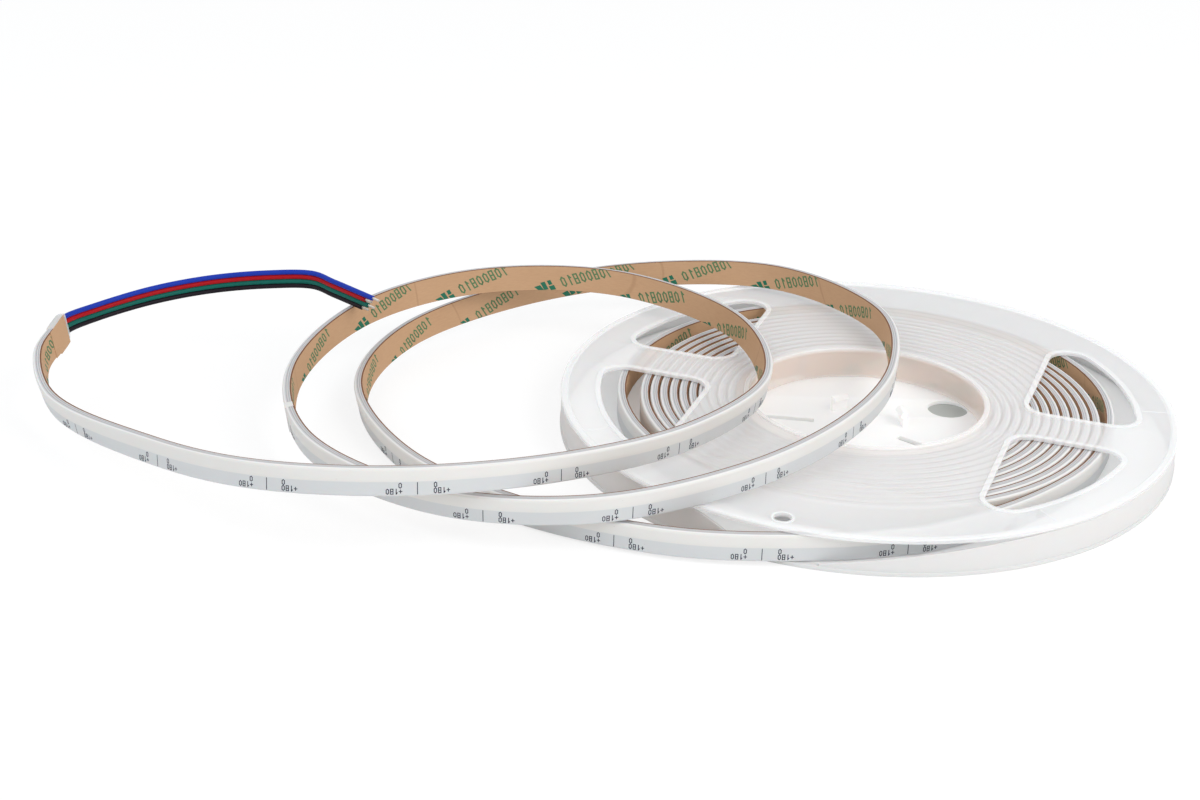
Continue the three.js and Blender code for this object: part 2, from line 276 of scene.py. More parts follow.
class Strip:
    """The strip's path from the cap to the hub: places, outward and upward directions, and distance along."""

    def __init__(self):
        scale = REEL_RADIUS / 100
        knots = [
            Vector((x * scale, y * scale, reels * REEL_HEIGHT + widths * STRIP_WIDTH))
            for x, y, reels, widths, _ in RUN_ROUTE
        ]
        knots.append(polar(turn_radius(0), ENTRY_AZIMUTH, STRIP_FLOOR))
        leans = [Vector((k, row[4], 0)) for k, row in enumerate(RUN_ROUTE)] + [Vector((len(RUN_ROUTE), 0, 0))]
        per_span = 40
        fine_leans = [p.y for p in catmull_rom(leans, per_span)]
        run, run_leans = resample(catmull_rom(knots, per_span), fine_leans, RUN_STEP)
        coil = []
        angle = COIL_STEP
        while turn_radius(angle) > HUB_OPENING + COLLAR + TOUCH + STRIP_DEPTH / 2:
            coil.append(polar(turn_radius(angle), ENTRY_AZIMUTH + angle, STRIP_FLOOR))
            angle += COIL_STEP
        self.points = run + coil
        self.leans = run_leans + [0.0] * len(coil)
        self.along = distances(self.points)
        self.run_length = self.along[len(run) - 1]
        self.out, self.high = [], []
        for i, lean in enumerate(self.leans):
            ahead = self.points[min(i + 1, len(self.points) - 1)]
            behind = self.points[max(i - 1, 0)]
            way = (ahead - behind).normalized()
            outward = Vector((way.y, -way.x, 0)).normalized()
            a = math.radians(lean)
            self.high.append(UP * math.cos(a) + outward * math.sin(a))
            self.out.append(outward * math.cos(a) - UP * math.sin(a))

    def at(self, s, across, above):
        """A point of the strip: s along it, across from its middle outward, and above its lower edge."""
        i = min(max(bisect.bisect_right(self.along, s) - 1, 0), len(self.points) - 2)
        w = (s - self.along[i]) / (self.along[i + 1] - self.along[i])
        point = self.points[i].lerp(self.points[i + 1], w)
        out = self.out[i].lerp(self.out[i + 1], w).normalized()
        high = self.high[i].lerp(self.high[i + 1], w).normalized()
        return point + out * across + high * above


STRIP = Strip()


# Meshes
def finished(name, mesh, sharp=SHARP_ANGLE, weld=False):
    """An object from a mesh, with its faces turned outward and smooth but for its sharp edges."""
    work = bmesh.new()
    work.from_mesh(mesh)
    if weld:
        bmesh.ops.remove_doubles(work, verts=work.verts, dist=WELD)
    bmesh.ops.recalc_face_normals(work, faces=work.faces)
    work.to_mesh(mesh)
    work.free()
    mesh.polygons.foreach_set("use_smooth", [True] * len(mesh.polygons))
    mesh.set_sharp_from_angle(angle=math.radians(sharp))
    piece = bpy.data.objects.new(name, mesh)
    bpy.context.scene.collection.objects.link(piece)
    return piece


def new_piece(name, verts, faces, materials, sharp=SHARP_ANGLE):
    """A piece from millimetre points."""
    mesh = bpy.data.meshes.new(name)
    mesh.from_pydata([Vector(v) * MM for v in verts], [], faces)
    for material in materials:
        mesh.materials.append(material)
    piece = finished(name, mesh, sharp)
    return piece


def set_values(piece, name, values):
    layer = piece.data.attributes.new(name, "FLOAT", "POINT")
    layer.data.foreach_set("value", values)


def skin(rings, around, ring_closed=False):
    """Faces between rings of points, with flat ends unless the last ring meets the first."""
    faces = []
    spans = rings if ring_closed else rings - 1
    for i in range(spans):
        here, there = i * around, ((i + 1) % rings) * around
        for j in range(around):
            k = (j + 1) % around
            faces.append((here + j, here + k, there + k, there + j))
    if not ring_closed:
        faces.append(tuple(reversed(range(around))))
        faces.append(tuple(range((rings - 1) * around, rings * around)))
    return faces


def sweep_strip(name, section, material):
    """A body along the strip's path with the given section of (across, above) points."""
    verts, along, above_edge, depth = [], [], [], []
    for i in range(len(STRIP.points)):
        for across, above in section:
            verts.append(STRIP.points[i] + STRIP.out[i] * across + STRIP.high[i] * above)
            along.append(STRIP.along[i])
            above_edge.append(above)
            depth.append(across)
    piece = new_piece(name, verts, skin(len(STRIP.points), len(section)), [material])
    set_values(piece, "along", along)
    set_values(piece, "above", above_edge)
    set_values(piece, "depth", depth)
    return piece


def join(name, pieces):
    """One piece from several."""
    bpy.ops.object.select_all(action="DESELECT")
    for piece in pieces:
        piece.select_set(True)
    bpy.context.view_layer.objects.active = pieces[0]
    bpy.ops.object.join()
    pieces[0].name = pieces[0].data.name = name
    return pieces[0]


# Material nodes
class Shader:
    """Builds the nodes of one material."""

    def __init__(self, name, **settings):
        self.material = bpy.data.materials.new(name)
        self.material.use_nodes = True
        self.tree = self.material.node_tree
        self.surface = self.tree.nodes["Principled BSDF"]
        for key, value in settings.items():
            self.surface.inputs[key.replace("_", " ")].default_value = value

    def put(self, socket, value):
        if isinstance(value, bpy.types.NodeSocket):
            self.tree.links.new(value, socket)
        elif value is not None:
            socket.default_value = value

    def node(self, kind, *inputs, **settings):
        made = self.tree.nodes.new("ShaderNode" + kind)
        for key, value in settings.items():
            setattr(made, key, value)
        for socket, value in zip(made.inputs, inputs):
            self.put(socket, value)
        return made

    def calc(self, operation, a, b=None, c=None):
        return self.node("Math", a, b, c, operation=operation).outputs[0]

    def value(self, name):
        return self.node("Attribute", attribute_name=name).outputs["Fac"]

    def ease(self, value, low, high):
        """0 below low and 1 above high, smooth between."""
        made = self.node("MapRange", value, low, high, interpolation_type="SMOOTHSTEP")
        return made.outputs[0]

    def band(self, value, centre, half, soft):
        """1 within half of the centre, falling to 0 over soft."""
        away = self.calc("ABSOLUTE", self.calc("SUBTRACT", value, centre))
        return self.calc("SUBTRACT", 1.0, self.ease(away, half, half + soft))

    def mix(self, share, a, b):
        made = self.node("Mix", data_type="RGBA")
        self.put(made.inputs["Factor"], share)
        self.put(made.inputs["A"], a if isinstance(a, bpy.types.NodeSocket) else (*a, 1))
        self.put(made.inputs["B"], b if isinstance(b, bpy.types.NodeSocket) else (*b, 1))
        return made.outputs["Result"]

    def place(self):
        return self.node("TexCoord").outputs["Object"]

    def axis_distance(self, x, y):
        """Millimetres from the reel's axis."""
        away = self.node("VectorMath", self.stretch(x, y, 0.0), operation="LENGTH").outputs["Value"]
        return self.calc("MULTIPLY", away, 1 / MM)

    def noise(self, scale, detail=3, where=None, rough=0.5):
        made = self.node("TexNoise")
        self.put(made.inputs["Vector"], where or self.place())
        made.inputs["Scale"].default_value = scale
        made.inputs["Detail"].default_value = detail
        made.inputs["Roughness"].default_value = rough
        return made.outputs["Fac"]

    def stretch(self, x, y, z):
        """A vector from three values."""
        return self.node("CombineXYZ", x, y, z).outputs[0]

    def bump(self, height, distance, strength=1):
        made = self.node("Bump")
        made.inputs["Strength"].default_value = strength
        made.inputs["Distance"].default_value = distance
        self.put(made.inputs["Height"], height)
        self.put(self.surface.inputs["Normal"], made.outputs[0])

    def colour(self, value):
        self.put(self.surface.inputs["Base Color"], value if not isinstance(value, tuple) else (*value, 1))

    def rough(self, value):
        self.put(self.surface.inputs["Roughness"], value)


def sleeve_material():
    """White silicone sleeve: a warm diffuser above, the cool board below, and narrow sides with painted shade
    stripes in their grooves and a painted highlight towards the rounded front corner.
    """
    m = Shader("sleeve_silicone", Subsurface_Weight=0.12, Subsurface_Scale=0.001, IOR=1.41)
    above, depth, along = m.value("above"), m.value("depth"), m.value("along")
    line = m.stretch(along, above, depth)
    board = m.calc("SUBTRACT", 1.0, m.ease(above, BOARD_TOP - 0.3, BOARD_TOP + 0.2))
    on_face = m.ease(depth, STRIP_DEPTH / 2 - 0.75, STRIP_DEPTH / 2 - 0.3)
    cloud = m.noise(0.06, 2, line)
    warm = m.mix(cloud, (0.68, 0.67, 0.65), (0.72, 0.71, 0.69))
    cool = m.mix(cloud, (0.575, 0.59, 0.6), (0.61, 0.625, 0.635))
    face = m.mix(board, warm, cool)
    seam = m.calc("MULTIPLY", m.band(above, BOARD_TOP, 0.04, 0.16), 0.22)
    face = m.mix(seam, face, (0.5, 0.56, 0.62))
    # Painted shade: the narrow sides are painted darker along their grooves
    groove_shade = m.calc("ADD", *[m.band(depth, g, 0.1, GROOVE) for g in GROOVES])
    # Painted highlight: the narrow side is painted grey, brightening towards the rounded front corner
    side = m.mix(m.ease(depth, 0.5, 1.2), (0.57, 0.565, 0.57), (0.86, 0.86, 0.865))
    side = m.mix(m.calc("MULTIPLY", groove_shade, 0.65), side, (0.36, 0.36, 0.38))
    side = m.mix(m.ease(depth, -1.1, -1.2), side, (0.2, 0.09, 0.045))
    colour = m.mix(on_face, side, face)
    speck = m.node("TexVoronoi")
    m.put(speck.inputs["Vector"], line)
    speck.inputs["Scale"].default_value = 0.24
    dot = m.calc("LESS_THAN", speck.outputs["Distance"], 0.022)
    colour = m.mix(m.calc("MULTIPLY", dot, 0.6), colour, (0.16, 0.12, 0.1))
    m.colour(colour)
    m.rough(m.calc("ADD", 0.42, m.calc("MULTIPLY", m.noise(0.5, 3, line), 0.12)))
    m.bump(m.noise(0.35, 4, line), 0.00005, 0.6)
    return m.material


def liner_material():
    """Kraft paper with fibres, and faint creases across where the roll was bent, painted darker along each
    crease as painted shade.
    """
    m = Shader("liner_kraft", IOR=1.4)
    above, along, depth = m.value("above"), m.value("along"), m.value("depth")
    line = m.stretch(along, above, depth)
    grain = m.stretch(m.calc("MULTIPLY", along, 0.35), m.calc("MULTIPLY", above, 2.2), 0.0)
    fibres = m.noise(1.0, 5, grain, 0.65)
    blotch = m.noise(0.05, 2, line)
    tan = m.mix(fibres, (0.41, 0.235, 0.125), (0.55, 0.345, 0.2))
    tan = m.mix(m.calc("MULTIPLY", blotch, 0.35), tan, (0.58, 0.38, 0.235))
    shift = m.calc("MULTIPLY", m.noise(0.012, 1, line), 90.0)
    crease = m.calc("ABSOLUTE", m.calc("SUBTRACT", m.calc("MODULO", m.calc("ADD", along, shift), 83.0), 41.0))
    crease = m.calc("SUBTRACT", 1.0, m.ease(crease, 0.1, 0.7))
    # Painted shade: the paper is painted darker along each crease
    tan = m.mix(m.calc("MULTIPLY", crease, 0.3), tan, (0.3, 0.16, 0.08))
    tan = m.mix(m.ease(above, STRIP_WIDTH - 0.3, STRIP_WIDTH - 0.1), tan, (0.17, 0.07, 0.03))
    m.colour(tan)
    m.rough(m.calc("ADD", 0.62, m.calc("MULTIPLY", fibres, 0.15)))
    m.bump(m.calc("ADD", m.calc("MULTIPLY", fibres, 0.4), crease), 0.00008, 0.7)
    return m.material


def ink_material(name, colour):
    """Flat ink, a little worn."""
    m = Shader(name, IOR=1.4)
    wear = m.noise(2500, 3)
    pale = tuple(min(1, c * 1.3 + 0.012) for c in colour)
    m.colour(m.mix(wear, colour, pale))
    m.rough(0.6)
    return m.material


DISC_GLOW = 0.11
PLATE_GLOW = 0.11


def reel_material(name, colour, cloudy, alpha, glow):
    """Milky moulded plastic that lets a little through, with soft flow clouding and a fine skin. A faint glow
    stands for the light that the plastic carries."""
    m = Shader(name, Alpha=alpha, Subsurface_Weight=0.1, Subsurface_Scale=0.002, IOR=1.46)
    m.surface.inputs["Emission Color"].default_value = (0.98, 0.99, 1, 1)
    m.surface.inputs["Emission Strength"].default_value = glow
    m.colour(m.mix(m.noise(18, 3), colour, cloudy))
    m.rough(m.calc("ADD", 0.34, m.calc("MULTIPLY", m.noise(60, 4), 0.16)))
    m.bump(m.noise(420, 3), 0.00004, 0.35)
    return m


def base_material():
    """The same plastic on the disc, with painted shade darkening the wall round it, and the painted glow kept
    to the disc.
    """
    m = reel_material("milky_base", (0.95, 0.945, 0.94), (0.93, 0.925, 0.92), 0.85, DISC_GLOW)
    x, y, _ = m.node("SeparateXYZ", m.place()).outputs
    wall_inner = REEL_RADIUS - WALL
    wall = m.ease(m.axis_distance(x, y), wall_inner - 2, wall_inner)
    # Painted shade: the wall is painted darker than the disc
    m.colour(m.mix(wall, m.surface.inputs["Base Color"].links[0].from_socket, (0.74, 0.735, 0.73)))
    # Painted glow on the disc only, none on the wall
    m.put(m.surface.inputs["Emission Strength"], m.calc("MULTIPLY_ADD", wall, -DISC_GLOW, DISC_GLOW))
    return m.material


def flange_material():
    """The milky plastic over the wound turns: soft rings of painted shade where they lie under it, brighter
    plastic beyond them, and a collar that takes the colour of the paper behind it as a painted see-through
    tint."""
    m = reel_material("milky_flange", (0.89, 0.89, 0.895), (0.87, 0.87, 0.875), 0.42, PLATE_GLOW)
    x, y, z = m.node("SeparateXYZ", m.place()).outputs
    radius = m.axis_distance(x, y)
    turned = m.calc("DIVIDE", m.calc("ARCTAN2", y, x), 2 * math.pi)
    wound = m.calc("ADD", m.calc("DIVIDE", m.calc("SUBTRACT", COIL_RADIUS, radius), TURN_PITCH), turned)
    wave = m.calc("FRACT", m.calc("SUBTRACT", wound, math.radians(ENTRY_AZIMUTH) / (2 * math.pi)))
    ring = m.band(wave, 0.16, 0.05, 0.2)
    patchy = m.ease(m.noise(14, 2), 0.3, 0.7)
    inside = m.calc("SUBTRACT", 1.0, m.ease(radius, COIL_RADIUS - 1, COIL_RADIUS + 5))
    low = m.mix(m.noise(18, 3), (0.89, 0.88, 0.875), (0.93, 0.92, 0.92))
    # Painted shade: dark rings painted where the wound turns lie under the plate
    low = m.mix(m.calc("MULTIPLY", ring, m.calc("MULTIPLY_ADD", patchy, 0.3, 0.1)), low, (0.62, 0.6, 0.59))
    high = m.surface.inputs["Base Color"].links[0].from_socket
    colour = m.mix(inside, high, low)
    collar = m.calc("MULTIPLY", m.ease(radius, HUB_OPENING + LIP_WIDTH, HUB_OPENING + COLLAR),
                    m.ease(z, PLATE_TOP * MM, PLATE_BOTTOM * MM))
    # Painted see-through tint: the collar takes the tan of the paper behind it
    colour = m.mix(collar, colour, (0.89, 0.8, 0.745))
    m.colour(colour)
    return m.material


def cap_material(name, colour, alpha):
    """Soft potting silicone, uneven and slightly clear."""
    m = Shader(name, Alpha=alpha, Subsurface_Weight=0.15, Subsurface_Scale=0.001, IOR=1.41)
    m.colour(m.mix(m.noise(300, 2), colour, tuple(c * 0.93 for c in colour)))
    m.rough(m.calc("ADD", 0.3, m.calc("MULTIPLY", m.noise(500, 3), 0.2)))
    m.bump(m.noise(350, 3), 0.0002, 0.5)
    return m.material


def wire_material(name, colour):
    """Satin wire insulation with faint cloudy marks."""
    m = Shader(name, IOR=1.5, Specular_IOR_Level=0.15)
    cloud = m.noise(240, 3)
    m.colour(m.mix(cloud, colour, tuple(min(1, c * 1.18 + 0.004) for c in colour)))
    m.rough(m.calc("ADD", 0.4, m.calc("MULTIPLY", m.noise(700, 3), 0.16)))
    m.bump(m.noise(900, 2), 0.00003, 0.4)
    return m.material


def tin_material():
    """Tinned copper strands."""
    m = Shader("tinned_strands", Metallic=1.0)
    m.colour(m.mix(m.noise(900, 3), (0.78, 0.77, 0.74), (0.6, 0.55, 0.48)))
    m.rough(m.calc("ADD", 0.28, m.calc("MULTIPLY", m.noise(1500, 3), 0.2)))
    m.bump(m.noise(1800, 3), 0.00003, 0.5)
    return m.material


# Camera
def make_camera():
    yaw, pitch, roll = (math.radians(a) for a in (CAMERA_YAW, CAMERA_PITCH, CAMERA_ROLL))
    forward = Vector((math.sin(yaw) * math.cos(pitch), math.cos(yaw) * math.cos(pitch), -math.sin(pitch)))
    level = Vector((math.cos(yaw), -math.sin(yaw), 0))
    upright = level.cross(forward)
    right = level * math.cos(roll) + upright * math.sin(roll)
    top = upright * math.cos(roll) - level * math.sin(roll)
    camera = bpy.data.objects.new("camera", bpy.data.cameras.new("camera"))
    turn = Matrix((right, top, -forward)).transposed().to_4x4()
    camera.matrix_world = Matrix.Translation(CAMERA_PLACE * MM) @ turn
    camera.data.lens = CAMERA_LENS
    camera.data.sensor_width = 36
    camera.data.clip_start = 0.02
    camera.data.clip_end = 20
    bpy.context.scene.collection.objects.link(camera)
    bpy.context.scene.camera = camera


# Wires
CAP_BACK = (STRIP.points[0] - STRIP.points[1]).normalized()


def cap_point(reach, across, above):
    """A point of the cap: reach beyond the strip's end, across and above as on the strip."""
    return STRIP.points[0] + CAP_BACK * reach + STRIP.out[0] * across + STRIP.high[0] * above


def wire_points(wire):
    lift = UP * (wire["level"] * WIRE_PITCH - WIRE_DROP)
    scale = REEL_RADIUS / 100
    above = STRIP_WIDTH / 2 + wire["level"] * WIRE_PITCH - WIRE_DROP
    points = [cap_point(CAP_LENGTH - WIRE_SOCKET, 0, above), cap_point(CAP_LENGTH + 2 * TOUCH, 0, above)]
    points += [Vector((x * scale, y * scale, widths * STRIP_WIDTH)) + lift for x, y, widths in WIRE_ROUTE]
    points[-1] = points[-1].lerp(points[-2], 1 - wire["reach"])
    return catmull_rom(points, 10)


def make_wire(wire):
    points = wire_points(wire)
    curve = bpy.data.curves.new("wire_" + wire["name"], "CURVE")
    curve.dimensions = "3D"
    curve.bevel_depth = WIRE / 2 * MM
    curve.bevel_resolution = 5
    curve.use_fill_caps = True
    spline = curve.splines.new("POLY")
    spline.points.add(len(points) - 1)
    for knot, point in zip(spline.points, points):
        knot.co = (*(point * MM), 1)
    spline.use_smooth = True
    piece = bpy.data.objects.new("wire_" + wire["name"], curve)
    bpy.context.scene.collection.objects.link(piece)
    curve.materials.append(wire_material("insulation_" + wire["name"], wire["ink"]))
    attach(piece, "root")
    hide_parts("lead_" + wire["name"])
    tip = make_tip(wire, points)


def make_tip(wire, points):
    """Twisted tinned strands that stand out of the insulation."""
    way = (points[-1] - points[-2]).normalized()
    side = way.cross(UP).normalized()
    top = side.cross(way)
    strand, rings, around = TIP / 6, 14, 8
    verts, faces = [], []
    for n in range(TIP_STRANDS):
        first = len(verts)
        for i in range(rings):
            share = i / (rings - 1)
            turn = math.radians(60 * n + TIP_TWIST * share)
            spread = 0 if n == TIP_STRANDS - 1 else TIP / 2 - strand
            centre = points[-1] + way * (TIP_LENGTH * share - TOUCH)
            centre += (side * math.cos(turn) + top * math.sin(turn)) * spread
            for j in range(around):
                a = 2 * math.pi * j / around
                size = strand * (0.35 if i == rings - 1 else 1)
                verts.append(centre + (side * math.cos(a) + top * math.sin(a)) * size)
        faces += [tuple(first + v for v in face) for face in skin(rings, around)]
    tip = new_piece("strands_" + wire["name"], verts, faces, [TIN], sharp=60)
    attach(tip, "root")
    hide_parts("tip_" + wire["name"])
    return tip


# Strip pieces
def corner_arc(x, y, radius, start, steps=4):
    """A quarter circle about (x, y) from the start angle in degrees, counter-clockwise."""
    turns = [math.radians(start + 90 * k / steps) for k in range(steps + 1)]
    return [(x + radius * math.cos(a), y + radius * math.sin(a)) for a in turns]


def make_sleeve():
    back = BACK + LINER
    board = FACE - FACE_STEP
    corner = SLEEVE_CORNER
    lower = [(back, 0)]
    for g in GROOVES:
        lower += [(g - GROOVE, 0), (g, GROOVE), (g + GROOVE, 0)]
    lower += corner_arc(board - corner, corner, corner, -90)
    face = [(board, BOARD_TOP - 0.25), (FACE - FACE_STEP / 3, BOARD_TOP + 0.1), (FACE, BOARD_TOP + 1)]
    upper = corner_arc(FACE - corner, STRIP_WIDTH - corner, corner, 0)
    for g in reversed(GROOVES):
        upper += [(g + GROOVE, STRIP_WIDTH), (g, STRIP_WIDTH - GROOVE), (g - GROOVE, STRIP_WIDTH)]
    upper.append((back, STRIP_WIDTH))
    piece = sweep_strip("strip_sleeve", lower + face + upper, sleeve_material())
    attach(piece, "root")
    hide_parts("led_strip")


def make_liner():
    front, low, high = BACK + LINER, 0.12, STRIP_WIDTH - 0.05
    section = [(BACK, low), (front, low), (front, high), (BACK, high)]
    piece = sweep_strip("strip_liner_paper", section, liner_material())
    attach(piece, "root")
    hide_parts("strip_liner")


def inlay(bars, depth_from, depth_to):
    """Thin closed bodies for printed bars. A bar is four (along, above) corners in order."""
    verts, faces = [], []
    for bar in bars:
        first = len(verts)
        for depth in (depth_from, depth_to):
            verts += [STRIP.at(s, depth, above) for s, above in bar]
        faces += [tuple(first + v for v in face) for face in skin(2, 4)]
    return verts, faces


def stroke(a, b, width):
    """The four corners of a pen stroke from a to b."""
    dx, dy = b[0] - a[0], b[1] - a[1]
    size = math.hypot(dx, dy)
    nx, ny = -dy / size * width / 2, dx / size * width / 2
    ex, ey = dx / size * width / 2, dy / size * width / 2
    return [
        (a[0] - ex + nx, a[1] - ey + ny),
        (a[0] - ex - nx, a[1] - ey - ny),
        (b[0] + ex - nx, b[1] + ey - ny),
        (b[0] + ex + nx, b[1] + ey + ny),
    ]


# Pen strokes of each sign, in a box one wide and one high
SIGNS = {
    "+": [((0.05, 0.5), (0.95, 0.5)), ((0.5, 0.2), (0.5, 0.8))],
    "1": [((0.15, 0.75), (0.5, 1)), ((0.5, 1), (0.5, 0))],
    "8": [((0.1, 0.5), (0.9, 0.5)), ((0.1, 0), (0.1, 1)), ((0.9, 0), (0.9, 1)), ((0.1, 1), (0.9, 1)),
          ((0.1, 0), (0.9, 0))],
    "0": [((0.1, 0.2), (0.1, 0.8)), ((0.1, 0.8), (0.5, 1)), ((0.5, 1), (0.9, 0.8)), ((0.9, 0.8), (0.9, 0.2)),
          ((0.9, 0.2), (0.5, 0)), ((0.5, 0), (0.1, 0.2))],
}

# Cut marks: where each row of them starts and stops along the strip, and the signs beside each mark as text,
# start along the strip and top above its edge
CUT_PITCH = 50
CUT_ROWS = [(62.8, 683.4), (688.3, 1153.4), (1171.6, 1640)]
CUT_LOW = 0.85
CUT_HIGH = BOARD_TOP - 0.1
CUT_WIDTH = 0.26
CUT_SIGNS = [("+180", -5, 2.8), ("+180", 10.6, 2.8), ("0", -5.1, 4.9), ("0", 6.4, 4.9)]
SIGN_HEIGHT = 1.8
SIGN_WIDTH = 1.0
SIGN_PITCH = 1.42
PEN = 0.29
INK_OUT = 0.015
INK_IN = 0.04

# Print on the liner: rows aslant across the strip, each with light figures and heavy blocks. A block is its
# start, bottom, width and height, the bottom and height as shares of the print's height.
PRINT_LEAN = 0.2
PRINT_TURN = -17
PRINT_SEED = 7
PRINT_START = 12
PRINT_PITCH = 42
PRINT_DRIFT = 2
PRINT_SHIFT = (-8, 4)
PRINT_PAST = 400
HUB_PRINT = (280, 20)
PRINT_EDGE = 0.12
THINNEST_BAR = 0.3
PRINT_INK_OUT = 0.012
HEAVY_START = 15
HEAVY_HEIGHT = 4.4
HEAVY_BLOCKS = [(0, 0, 2.3, 0.46), (0.4, 0.56, 1.5, 0.44), (2.8, 0.2, 1.9, 0.8), (5.2, 0, 2.6, 0.8)]
LIGHT_START = -9
LIGHT_HEIGHT = 3.9
LIGHT_WIDTH = 1.75
LIGHT_PITCH = 2.7
LIGHT_PEN = 0.62
LIGHT_FIGURES = "10800810"

# Joint in the sleeve, and the corner of paper lifted there: points along the strip, outward and above its edge
SPLICE = 688.4
SPLICE_HALF = 1.6
SPLICE_GROW = 0.1
LIFTED_CORNER = [(3.2, 0, 10), (0, 0, 9.7), (-1.2, -0.9, 10.6), (0.6, 0, 7.4)]
LIFTED_FACES = [
    (0, 2, 6), (2, 4, 6), (1, 7, 3), (3, 7, 5), (0, 1, 3, 2), (2, 3, 5, 4), (4, 5, 7, 6), (6, 7, 1, 0),
]


def write(text, s, above):
    """Pen strokes of signs that read upside down, the first one at s and the others before it."""
    bars = []
    for n, sign in enumerate(text):
        left = s - n * SIGN_PITCH
        for a, b in SIGNS[sign]:
            points = [(left - x * SIGN_WIDTH, above - y * SIGN_HEIGHT) for x, y in (a, b)]
            bars.append(stroke(*points, PEN))
    return bars


def cut_places():
    """Distances of the cut marks along the strip."""
    places = []
    for start, stop in CUT_ROWS:
        s = start
        while s < stop:
            places.append(s)
            s += CUT_PITCH
    return places


def make_marks():
    """Cut lines with plain signs on both sides, just under the sleeve's skin."""
    front = FACE - FACE_STEP
    bars = []
    for s in cut_places():
        bars.append(stroke((s, CUT_LOW), (s, CUT_HIGH), CUT_WIDTH))
        for text, start, top in CUT_SIGNS:
            bars += write(text, s + start, top)
    verts, faces = inlay(bars, front - INK_IN, front + INK_OUT)
    piece = new_piece("strip_marks", verts, faces, [ink_material("mark_ink", (0.012, 0.01, 0.03))])
    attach(piece, "root")


def print_bar(u, v, wide, tall):
    """A leaning bar of the print: its corners along and across the printed row."""
    lean = PRINT_LEAN
    return [(u + lean * v, v), (u + wide + lean * v, v), (u + wide + lean * (v + tall), v + tall),
            (u + lean * (v + tall), v + tall)]


def heavy_print(u):
    """Heavy blocks, some of them half as high."""
    low, tall = -HEAVY_HEIGHT / 2, HEAVY_HEIGHT
    return [print_bar(u + start, low + tall * up, wide, tall * high) for start, up, wide, high in HEAVY_BLOCKS]


def light_print(u):
    """A row of plain figures in broad strokes."""
    bars = []
    for n, sign in enumerate(LIGHT_FIGURES):
        for ends in SIGNS[sign]:
            left = u + LIGHT_PITCH * n
            points = [(left + x * LIGHT_WIDTH, (y - 0.5) * LIGHT_HEIGHT) for x, y in ends]
            bars.append([(x + PRINT_LEAN * y, y) for x, y in stroke(*points, LIGHT_PEN)])
    return bars


def on_liner(bars, s):
    """The row's bars turned across the strip at s, and cut off at its edges."""
    a = math.radians(PRINT_TURN)
    placed = []
    for bar in bars:
        corners = [
            (s + u * math.cos(a) - v * math.sin(a), STRIP_WIDTH / 2 + u * math.sin(a) + v * math.cos(a))
            for u, v in bar
        ]
        held = [(along, min(max(above, PRINT_EDGE), STRIP_WIDTH - PRINT_EDGE)) for along, above in corners]
        if max(above for _, above in held) - min(above for _, above in held) > THINNEST_BAR:
            placed.append(held)
    return placed


def make_print():
    """Plain green print on the liner, in rows that run aslant across the strip."""
    draw = random.Random(PRINT_SEED)
    bars = {"heavy": [], "light": []}
    end = STRIP.along[-1]
    for s, stop in ((PRINT_START, STRIP.run_length + PRINT_PAST), (end - HUB_PRINT[0], end - HUB_PRINT[1])):
        while s < stop:
            shift = draw.uniform(*PRINT_SHIFT)
            bars["light"] += on_liner(light_print(shift + LIGHT_START), s)
            bars["heavy"] += on_liner(heavy_print(shift + HEAVY_START), s)
            s += PRINT_PITCH + draw.uniform(-PRINT_DRIFT, PRINT_DRIFT)
    for kind, colour in (("heavy", (0.004, 0.11, 0.06)), ("light", (0.075, 0.15, 0.065))):
        verts, faces = inlay(bars[kind], BACK - PRINT_INK_OUT, BACK + INK_IN)
        name = "liner_print_" + kind
        piece = new_piece(name, verts, faces, [ink_material(name + "_ink", colour)])
        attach(piece, "root")


def cap_part(name, stations, material):
    """A rounded sleeve round the strip's end, through stations of (reach, how far it stands out)."""
    verts = []
    r = CAP_CORNER
    for reach, size in stations:
        x, low, high = STRIP_DEPTH / 2 + size - r, r - size, STRIP_WIDTH + size - r
        ring = corner_arc(x, low, r, -90) + corner_arc(x, high, r, 0)
        ring += corner_arc(-x, high, r, 90) + corner_arc(-x, low, r, 180)
        verts += [cap_point(reach, across, above) for across, above in ring]
    around = len(verts) // len(stations)
    return new_piece(name, verts, skin(len(stations), around), [material], sharp=50)


def make_cap():
    """The strip's potted end: a thin sleeve, paper on its inner face, and a clear nose round the wires."""
    silicone = cap_material("cap_silicone", (0.62, 0.61, 0.6), 1.0)
    clear = cap_material("cap_clear", (0.84, 0.84, 0.84), 0.55)
    pieces = [cap_part("cap_body", CAP_BODY, silicone), cap_part("cap_nose", CAP_NOSE, clear)]
    sheet = []
    for reach, level in CAP_PAPER:
        outer, inner = BACK - level, BACK - level + CAP_PAPER_DEPTH
        low, high = -2.8 * level, STRIP_WIDTH + 1.3 * level
        for depth, above in ((outer, low), (outer, high), (inner, high), (inner, low)):
            sheet.append(cap_point(reach, depth, above))
    paper = bpy.data.materials["liner_kraft"]
    pieces.append(new_piece("cap_paper", sheet, skin(len(CAP_PAPER), 4), [paper]))
    for piece in pieces:
        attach(piece, "root")
    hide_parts("end_cap")


